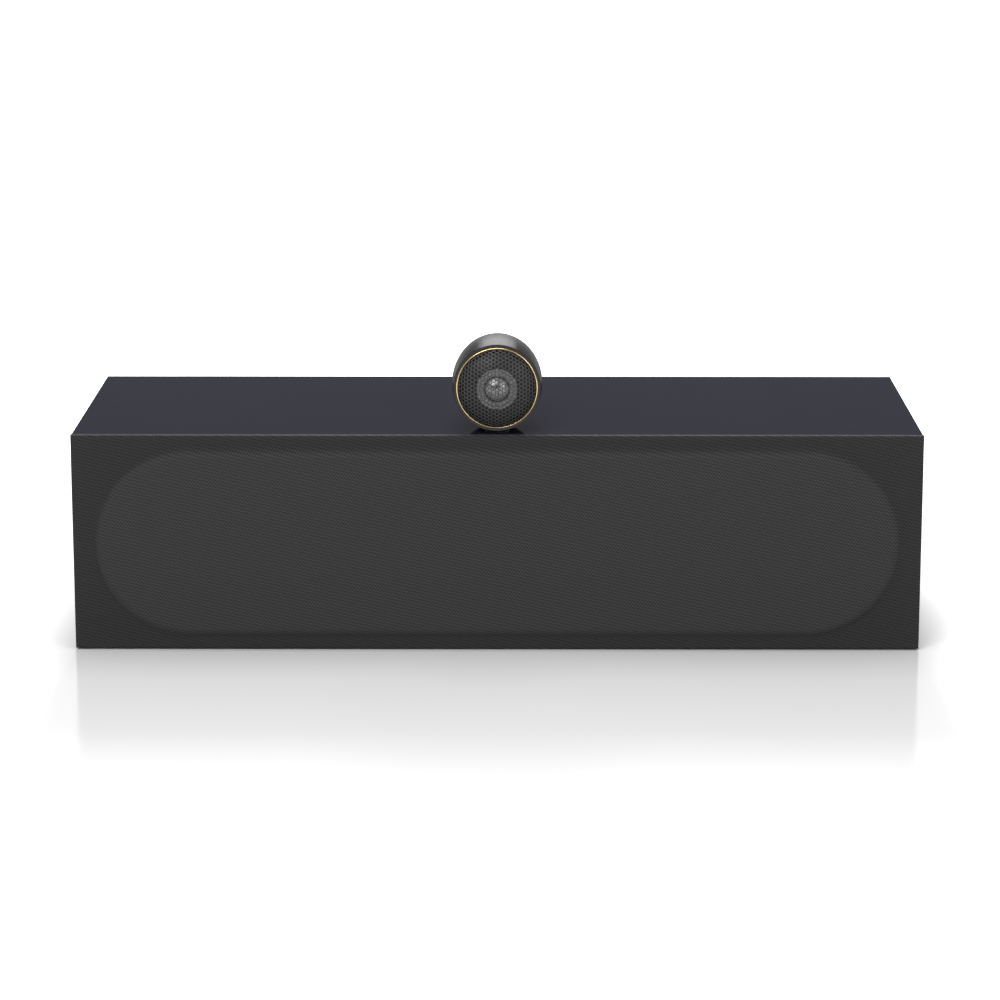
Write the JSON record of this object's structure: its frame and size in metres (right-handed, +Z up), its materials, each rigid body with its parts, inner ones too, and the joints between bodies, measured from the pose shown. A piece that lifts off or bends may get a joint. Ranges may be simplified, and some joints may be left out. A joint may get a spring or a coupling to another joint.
{
  "type": "center_channel_speaker",
  "caption": "Wide lacquered centre channel loudspeaker with a full-front cloth grille and a bullet-shaped tweeter pod with a perforated guard on its top.",
  "frame": {"origin": "on the floor, under the middle of the object's box", "axes": "+X along the width, to the right as seen from the front, +Z up, -Y forward"},
  "size_m": [0.85, 0.325, 0.3127],
  "materials": {
    "lacquer": "high-gloss midnight blue-grey lacquer over fibreboard",
    "board": "bare fibreboard",
    "black_board": "matt black painted fibreboard",
    "grille_fabric": "tight grey-black twill",
    "frame_plastic": "fine matt texture",
    "pod_metal": "satin grey anodised",
    "bezel_black": "gloss black",
    "trim_gold": "pale gold plated, bevelled",
    "mesh_steel": "satin grey perforated sheet",
    "dome": "dark satin dome",
    "surround_rubber": "matt black",
    "dome_edge": "satin grey coated roll",
    "pad_rubber": "matt black",
    "basket_cast": "black powder-coated casting",
    "trim_dark": "satin dark grey",
    "bass_paper": "dark smooth pulp sandwich",
    "mid_weave": "silver-grey stiffened weave",
    "spider_cloth": "resin-stiffened cloth",
    "coil_copper": "lacquered wire",
    "steel": "zinc plated",
    "ferrite": "dark sintered ferrite",
    "magnet_nickel": "nickel plated",
    "plug_metal": "satin turned metal",
    "port_plastic": "fine matt texture",
    "cup_plastic": "fine matt texture",
    "screw_black": "black oxide",
    "post_brass": "nickel-gold plated",
    "washer_brass": "nickel-gold plated",
    "knob_red": "red positive terminal",
    "knob_black": "black negative terminal",
    "circuit_board": "solder-masked laminate",
    "capacitor_film": "film-wrapped",
    "standoff_plastic": "nylon",
    "damping_foam": "open-cell"
  },
  "bodies": {
    "cabinet": {"cabinet_wrap": "lacquer", "front_baffle": "black_board", "rear_panel": "black_board", "partitions": "board", "braces": "board", "mid_chamber_back": "board", "foot_pads": "pad_rubber", "damping_pads": "damping_foam", "baffle_magnets": "magnet_nickel", "panel_screws": "screw_black", "left_port_tube": "port_plastic", "right_port_tube": "port_plastic", "terminal_cup": "cup_plastic", "terminal_posts": "post_brass", "crossover_board": "circuit_board", "board_standoffs": "standoff_plastic", "crossover_coils": "coil_copper", "crossover_capacitors": "capacitor_film", "left_bass_basket": "basket_cast", "right_bass_basket": "basket_cast", "mid_basket": "basket_cast", "trim_rings": "trim_dark", "top_plates": "steel", "driver_magnets": "ferrite", "pole_yokes": "steel", "mid_phase_plug": "plug_metal", "mid_surround": "surround_rubber", "mid_spider": "spider_cloth", "tweeter_body": "pod_metal", "tweeter_bezel": "bezel_black", "tweeter_trim_ring": "trim_gold", "tweeter_mesh": "mesh_steel", "tweeter_foot": "bezel_black", "tweeter_foot_pad": "pad_rubber", "tweeter_bolt": "steel", "tweeter_faceplate": "basket_cast", "tweeter_surround": "dome_edge", "tweeter_top_plate": "steel", "tweeter_magnet": "magnet_nickel", "tweeter_yoke": "steel", "tweeter_tube": "plug_metal", "left_bass_surround": "surround_rubber", "right_bass_surround": "surround_rubber", "left_bass_spider": "spider_cloth", "right_bass_spider": "spider_cloth"},
    "grille": {"grille_frame": "frame_plastic", "grille_cloth": "grille_fabric", "grille_magnets": "magnet_nickel"},
    "left_bass": {"left_bass_cone": "bass_paper", "left_bass_coil": "coil_copper"},
    "right_bass": {"right_bass_cone": "bass_paper", "right_bass_coil": "coil_copper"},
    "midrange": {"mid_cone": "mid_weave", "mid_coil": "coil_copper"},
    "tweeter": {"tweeter_dome": "dome", "tweeter_coil": "coil_copper"},
    "clamp_1": {"terminal_washer_1": "washer_brass"},
    "knob_1": {"terminal_knob_1": "knob_red"},
    "clamp_2": {"terminal_washer_2": "washer_brass"},
    "knob_2": {"terminal_knob_2": "knob_black"}
  },
  "joints": [
    {"name": "grille_pull", "type": "slide", "parent": "cabinet", "child": "grille", "axis": [0, -1, 0], "range_m": [0, 0.08]},
    {"name": "left_bass_stroke", "type": "slide", "parent": "cabinet", "child": "left_bass", "axis": [0, -1, 0], "range_m": [-0.005, 0.005], "stiffness_N_per_m": 600, "deforming": ["left_bass_surround", "left_bass_spider"]},
    {"name": "right_bass_stroke", "type": "slide", "parent": "cabinet", "child": "right_bass", "axis": [0, -1, 0], "range_m": [-0.005, 0.005], "stiffness_N_per_m": 600, "deforming": ["right_bass_surround", "right_bass_spider"]},
    {"name": "midrange_stroke", "type": "slide", "parent": "cabinet", "child": "midrange", "axis": [0, -1, 0], "range_m": [-0.0015, 0.0015], "stiffness_N_per_m": 400, "deforming": ["mid_surround", "mid_spider"]},
    {"name": "tweeter_stroke", "type": "slide", "parent": "cabinet", "child": "tweeter", "axis": [0, -1, 0], "range_m": [-0.0004, 0.0004], "stiffness_N_per_m": 60, "deforming": ["tweeter_surround"]},
    {"name": "clamp_1_lift", "type": "slide", "parent": "cabinet", "child": "clamp_1", "axis": [0, 1, 0], "range_m": [0, 0.006]},
    {"name": "knob_1_turn", "type": "hinge", "parent": "clamp_1", "child": "knob_1", "pos_m": [0.019, 0.1425, 0.111], "axis": [0, 1, 0], "range_deg": [0, 2160]},
    {"name": "clamp_2_lift", "type": "slide", "parent": "cabinet", "child": "clamp_2", "axis": [0, 1, 0], "range_m": [0, 0.006]},
    {"name": "knob_2_turn", "type": "hinge", "parent": "clamp_2", "child": "knob_2", "pos_m": [-0.019, 0.1425, 0.111], "axis": [0, 1, 0], "range_deg": [0, 2160]}
  ],
  "couplings": [
    {"joint": "knob_1_turn", "follows": "clamp_1_lift", "rad_per_m": 6283.2},
    {"joint": "knob_2_turn", "follows": "clamp_2_lift", "rad_per_m": 6283.2}
  ]
}
